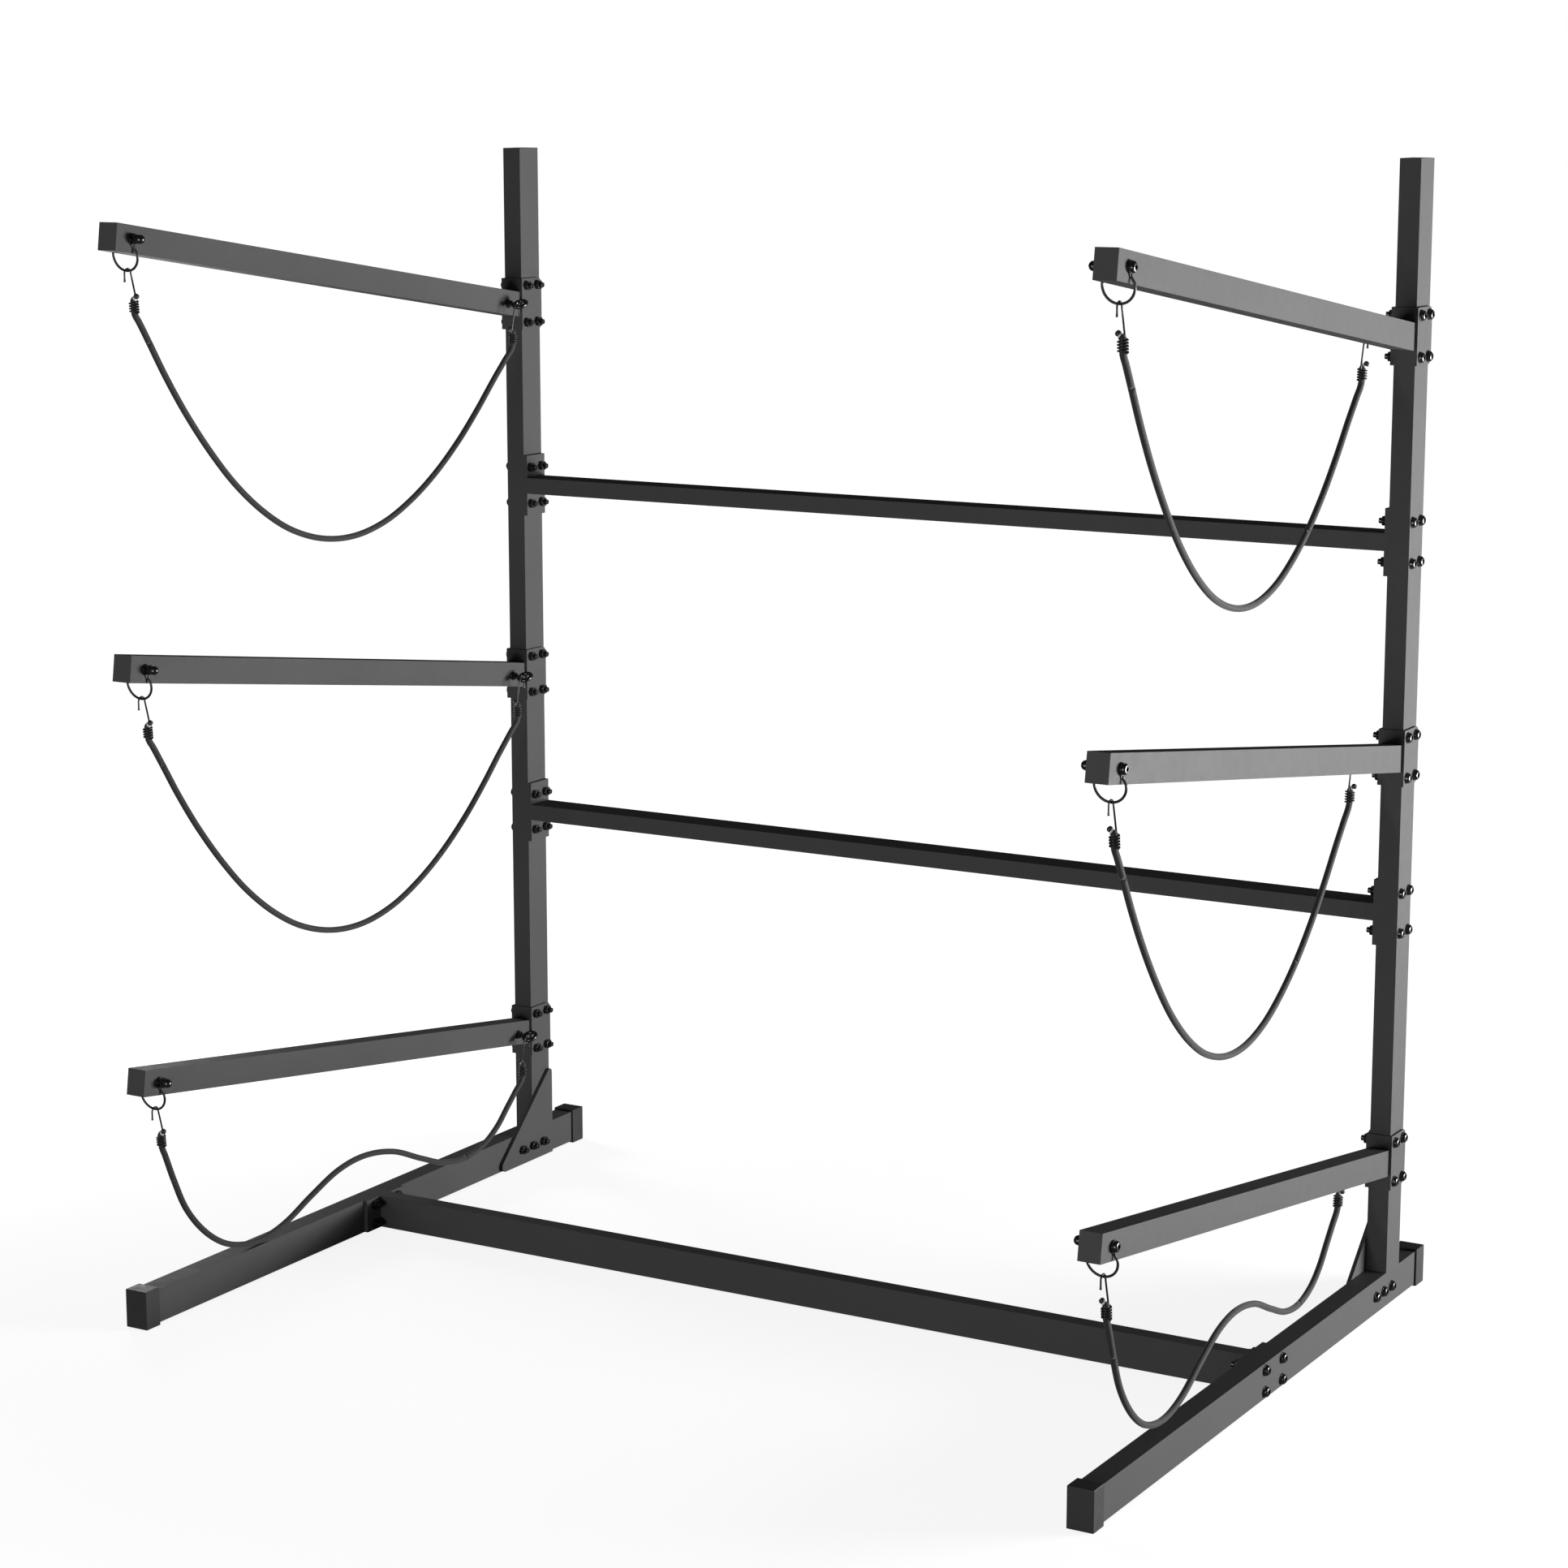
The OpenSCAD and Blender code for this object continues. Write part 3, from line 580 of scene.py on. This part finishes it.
def hook_place(side, row, end):
    """Move from a hook's own frame to its place in the rack at rest."""
    seat = pivot(f"{side}_{row}_{end}_hook_swing")
    turn = Quaternion((0, 0, 1), math.pi if end == "rear" else 0)
    return lambda p: seat + turn @ p


def end_point(side, seat_r, far):
    """Point far from the tip on the cord's end, which turns aside from the winding."""
    out = CORD_ASIDE * Vector((-SIDES[side], 0, 0)) - CORD_END * COIL_AXIS
    return coil_middle(seat_r, 0.0) + (1 - far / out.length) * out


def hook_radii(line):
    """Wire radius along a hook, with a thicker rounded tip on its free leg."""
    shares = [max(0.0, 1 - far / TIP_TAPER) for far in far_along(line)]
    return [(HOOK_WIRE + share * (HOOK_TIP - HOOK_WIRE)) / 2 for share in shares]


# ---- Cords: the CAD model's own route points ----

# (y from UPRIGHT_BACK, z from ROW_Z), in mm
HIGH_ROUTE = [
    (-928, 23), (-908.5, -7), (-878.5, -54), (-838.5, -109.5), (-788.5, -168.5),
    (-738.5, -218), (-678.5, -263), (-618.5, -294.5), (-548.5, -314), (-478.5, -317),
    (-408.5, -303.5), (-348.5, -279), (-288.5, -244.5), (-228.5, -199.5),
    (-178.5, -154), (-133.5, -108.5), (-106, -82),
]
LOW_ROUTE = [
    (-930, 239), (-912.5, 196), (-888.5, 147), (-850.5, 103), (-808.5, 74),
    (-768.5, 61), (-733.5, 58), (-698.5, 62.5), (-668.5, 71), (-613.5, 95),
    (-548.5, 119), (-488.5, 126), (-418.5, 115.5), (-348.5, 87), (-293.5, 66.5),
    (-238.5, 60.5), (-188.5, 71.5), (-153.5, 92), (-128.5, 115.5), (-105, 137.5),
]
UPRIGHT_BACK = 441 * MM
ROW_Z = {"top": 1393.5 * MM, "middle": 805.5 * MM, "bottom": 0.0}
# The cord itself starts past the bead and the band
CORD_START = 8.2 * MM
CORD_GAP = 6 * MM
CORD_AROUND = 20
# Route points from which the bail moves a cord less and less, from which it stays
# still, and from which the rear hook moves it
BAIL_END, STILL, HOOK_START = 1, 5, -5


def cord_route(side, row):
    """Points of a cord from its front end, through both windings, to its rear end."""
    far_in_coil = (0.0, LEAD_IN, COIL_LEN, COIL_LEN + CORD_D / 4)
    ends = {}
    for end in ("front", "rear"):
        place = hook_place(side, row, end)
        seat_r = SEAT_RADII[end]
        ends[end] = [place(end_point(side, seat_r, CORD_START))]
        ends[end] += [place(coil_middle(seat_r, far)) for far in far_in_coil]
    route = HIGH_ROUTE if row != "bottom" else LOW_ROUTE
    start, stop = ends["front"][-1], ends["rear"][-1]
    own = []
    for behind, z in route:
        y = UPRIGHT_BACK + behind * MM
        share = (y - start.y) / (stop.y - start.y)
        own.append(Vector((start.x + share * (stop.x - start.x), y, z * MM + ROW_Z[row])))
    return ends["front"], own, ends["rear"][::-1]


def make_cord(side, row):
    """A sling cord in three stretches, so that each can bend at one joint.

    Gives each stretch's name, piece and middle line.
    """
    front, own, rear = cord_route(side, row)
    line = smooth_line([*front, *own, *rear], CORD_GAP)
    name = f"{side}_{row}_cord"
    bodies = {part: f"{side}_{row}_{part}" for part in ("bail", "front_hook", "rear_hook")}
    first_cut = nearest(line, own[BAIL_END])
    last_cut = nearest(line, own[HOOK_START])
    free_front, free_rear = front[-1], rear[0]
    stretches = {
        "front": (line[:first_cut + 1], bodies["front_hook"], bodies["bail"],
                  free_front, own[BAIL_END]),
        "middle": (line[first_cut:last_cut + 1], bodies["bail"], "rack",
                   own[BAIL_END], own[STILL]),
        "rear": (line[last_cut:], "rack", bodies["rear_hook"], own[HOOK_START], free_rear),
    }
    for part, (points, body_a, body_b, start, end) in stretches.items():
        piece = dress(tube(f"{name}_{part}", points, CORD_D / 2, CORD_AROUND),
                      FINISHES["cord_braid"], "cord_braid")
        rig.replaces(piece, name)
        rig.blend(piece, body_a, body_b, start, end)
        yield part, piece, points


# The bead and the pale band at a cord's end: (radius, distance from the end), in mm
BEAD_PROFILE = [
    (0.6, 0.0), (2.2, 0.3), (3.4, 1.2), (3.9, 2.7), (3.9, 4.3), (3.3, 5.6), (2.4, 6.4),
]
BAND_PROFILE = [(2.8, 5.4), (3.4, 6.0), (3.6, 7.4), (3.5, 9.0)]
BEAD_AROUND = 24


def cord_ends(side, row, end):
    """Bead and band on the cord's end that stands out of a winding."""
    place = hook_place(side, row, end)
    for name, profile, material in (("bead", BEAD_PROFILE, BEAD), ("band", BAND_PROFILE, BAND)):
        line = [place(end_point(side, SEAT_RADII[end], far * MM)) for _, far in profile]
        piece = tube(f"{side}_{row}_{end}_cord_{name}", line, [r * MM for r, _ in profile],
                     BEAD_AROUND)
        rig.ride(dress(piece, material), f"{side}_{row}_{end}_hook")
        yield piece


def make_slings():
    """Hooks, cord ends and cords of all six slings."""
    for side, row in UNITS:
        on_end = {"front": [], "middle": [], "rear": []}
        for end in ("front", "rear"):
            seat_r = SEAT_RADII[end]
            name = f"{side}_{row}_{end}_hook"
            line = hook_line(seat_r)
            radii = hook_radii(line)
            place = hook_place(side, row, end)
            hook = dress(tube(f"{name}_wire", [place(p) for p in line], radii, WIRE_AROUND),
                         WIRE, "black_steel")
            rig.replaces(hook, name)
            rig.ride(hook, name)
            on_end[end] = [hook, *cord_ends(side, row, end)]
        for part, piece, line in make_cord(side, row):
            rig.cord(piece, exit=line[0], length=length_of(line), diameter=CORD_D,
                    far_end="object", stiffness="limp", lay="hanging", path=line,
                    with_pieces=on_end[part])


make_slings()

# ---- Bails: wire loops with two flat ears, leaning as they rest ----

BAIL_REST = math.radians(9.5)
BAIL_DROP = 22.8 * MM
BAIL_LOOP = 20.94 * MM
EAR_R = 8 * MM
EAR_HOLE = 4.08 * MM
EAR_IN = 15.8 * MM
EAR_T = 1.5 * MM
EAR_FOOT = 13 * MM
EAR_FOOT_POWER = 14
EAR_AROUND = 64
EAR_EDGE = 0.3 * MM
# (x, z) of the bent wire between an ear and the loop, in mm
BAIL_LEG = [(17.3, -8), (17.3, -11), (17.8, -13.5), (19.3, -16.5)]
# The loop starts this far above its centre's level and sweeps on, in degrees
ARC_START = 8
ARC_SWEEP = 196
ARC_STEPS = 44
BAIL_GAP = 1.2 * MM


def bail_line():
    """Middle line of a bail's wire, from the ear at +X round to the other one."""
    leg = [Vector((x * MM, 0, z * MM)) for x, z in BAIL_LEG]
    turns = [math.radians(ARC_START - ARC_SWEEP * k / ARC_STEPS) for k in range(ARC_STEPS + 1)]
    arc = [Vector((BAIL_LOOP * math.cos(turn), 0, -BAIL_DROP + BAIL_LOOP * math.sin(turn)))
           for turn in turns]
    end = [Vector((-p.x, 0, p.z)) for p in reversed(leg)]
    return smooth_line([*leg, *arc, *end], BAIL_GAP)


def ear_radius(turn):
    """Outline of an ear: round above, narrowing to the wire below."""
    below = max(0.0, -math.sin(turn))
    return EAR_R + (EAR_FOOT - EAR_R) * below ** EAR_FOOT_POWER


def make_ear(name, x_in, x_out, place):
    """Flat ear between two x, with the hole for its bolt."""
    points, faces = [], []
    for x in (x_in, x_out):
        for k in range(EAR_AROUND):
            turn = 2 * math.pi * k / EAR_AROUND
            way = Vector((0, math.cos(turn), math.sin(turn)))
            points += [place(Vector((x, 0, 0)) + ear_radius(turn) * way),
                       place(Vector((x, 0, 0)) + EAR_HOLE * way)]
    for k in range(EAR_AROUND):
        a, b = 2 * k, 2 * ((k + 1) % EAR_AROUND)
        c, d = a + 2 * EAR_AROUND, b + 2 * EAR_AROUND
        faces += [(a, b, d, c), (b + 1, a + 1, c + 1, d + 1),
                  (a, a + 1, b + 1, b), (c, d, d + 1, c + 1)]
    ear = mesh_object(name, points, faces)
    ease_edges(ear, EAR_EDGE)
    return ear


def bail_place(name):
    """Move from a bail's own frame, with its bolt at the origin, to the rack."""
    centre = pivot(f"{name}_swing")
    turn = Quaternion((1, 0, 0), BAIL_REST)
    return lambda p: centre + turn @ p


def make_bail(side, row):
    """Wire and two ears of one bail."""
    name = f"{side}_{row}_bail"
    place = bail_place(name)
    pieces = [tube(f"{name}_wire", [place(p) for p in bail_line()],
                   BAIL_WIRE_SEEN / 2, WIRE_AROUND)]
    for number, way in enumerate((1, -1)):
        pieces.append(make_ear(f"{name}_ear_{number}", way * EAR_IN, way * (EAR_IN + EAR_T),
                               place))
    for piece in pieces:
        dress(piece, WIRE, "black_steel")
        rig.replaces(piece, name)
        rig.ride(piece, name)


for unit in UNITS:
    make_bail(*unit)

# ---- Frame: CAD nodes with their finishes and eased edges ----

SLOTS = {part["node"]: part["material_slot"] for part in frame["record"]["subparts"]}
# How much the edges of each finish are eased, and what is cleaned up before that
EDGE = {"powder_coat": 0.9 * MM, "cap_plastic": 1.2 * MM, "black_steel": 0.25 * MM}
WELD_REACH = 1e-6
FLAT_ANGLE = math.radians(1)


def finish_frame():
    """Gives each CAD node its slot's finish, and each one seen its eased edges."""
    for name, node in frame["nodes"].items():
        slot = SLOTS[name]
        node.data.materials.clear()
        node.data.materials.append(FINISHES[slot])
        if node.hide_render or slot not in EDGE:
            continue
        weld = node.modifiers.new("join", "WELD")
        weld.merge_threshold = WELD_REACH
        joined = node.modifiers.new("faces", "DECIMATE")
        joined.decimate_type = "DISSOLVE"
        joined.angle_limit = FLAT_ANGLE
        ease_edges(node, EDGE[slot])


finish_frame()

# ---- Stage and light ----

FLOOR_SIZE = 60.0
FLOOR_GREY = 0.6
# The floor's glow towards the camera, from near the rack to further off
GLOW_RADII = (1.0, 2.6)
GLOW = (0.86, 1.0)
# The world's strength for lighting the rack. The camera sees it at full strength
STUDIO = 0.05
# Name, place, aim, size, power in watts
LAMPS = [
    ("key", (3.6, 1.9, 0.35), (0, 0, 0.7), (2.0, 0.5), 226),
    ("upper", (3.6, 1.9, 1.0), (3.15, 1.65, 3.0), (1.6, 1.0), 240),
    ("fill", (-0.5, -7.0, 0.6), (0, 0, 0.9), (4.0, 0.8), 168),
    ("left", (-2.2, 0.9, 0.6), (-0.74, -0.1, 0.05), (0.6, 0.5), 8),
]


def make_floor():
    """White floor that keeps the shadow near the rack and stays white far off."""
    half = FLOOR_SIZE / 2
    corners = [(-half, -half, 0), (half, -half, 0), (half, half, 0), (-half, half, 0)]
    floor = mesh_object("floor", corners, [(0, 1, 2, 3)])
    n = Nodes("floor")
    n.set(Base_Color=(*grey(FLOOR_GREY), 1), Roughness=0.9, Specular_IOR_Level=0.0,
          Emission_Color=(1, 1, 1, 1))
    far = n.add("ShaderNodeVectorMath", operation="LENGTH")
    n.link(n.coordinates.outputs["Object"], far.inputs[0])
    glow = n.remap(far.outputs["Value"], GLOW_RADII, GLOW, interpolation_type="SMOOTHSTEP")
    light_path = n.add("ShaderNodeLightPath")
    n.link(n.math("MULTIPLY", light_path.outputs["Is Camera Ray"], glow),
           n.shader.inputs["Emission Strength"])
    floor.data.materials.append(n.material)
    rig.stage(floor)


def make_world():
    """White behind the rack, and a dim even studio all round it."""
    world = bpy.data.worlds.new("studio")
    bpy.context.scene.world = world
    world.use_nodes = True
    tree = world.node_tree
    background = tree.nodes["Background"]
    light_path = tree.nodes.new("ShaderNodeLightPath")
    strength = tree.nodes.new("ShaderNodeMapRange")
    strength.inputs["To Min"].default_value = STUDIO
    strength.inputs["To Max"].default_value = 1.0
    tree.links.new(light_path.outputs["Is Camera Ray"], strength.inputs["Value"])
    tree.links.new(strength.outputs[0], background.inputs["Strength"])
    background.inputs["Color"].default_value = (1, 1, 1, 1)


def area_light(name, place, aim, size, power):
    """Rectangular lamp at a place, facing its aim."""
    data = bpy.data.lights.new(name, "AREA")
    data.shape = "RECTANGLE"
    data.size, data.size_y = size
    data.energy = power
    lamp = bpy.data.objects.new(name, data)
    lamp.location = place
    lamp.rotation_mode = "QUATERNION"
    lamp.rotation_quaternion = (Vector(aim) - Vector(place)).to_track_quat("-Z", "Y")
    bpy.context.scene.collection.objects.link(lamp)


make_floor()
make_world()
for lamp in LAMPS:
    area_light(*lamp)

bpy.context.scene.view_settings.view_transform = "Standard"

low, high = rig.bounds()
with open("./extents.json", "w") as out:
    json.dump({"cad": [list(cad_low), list(cad_high)], "visual": [list(low), list(high)]}, out)
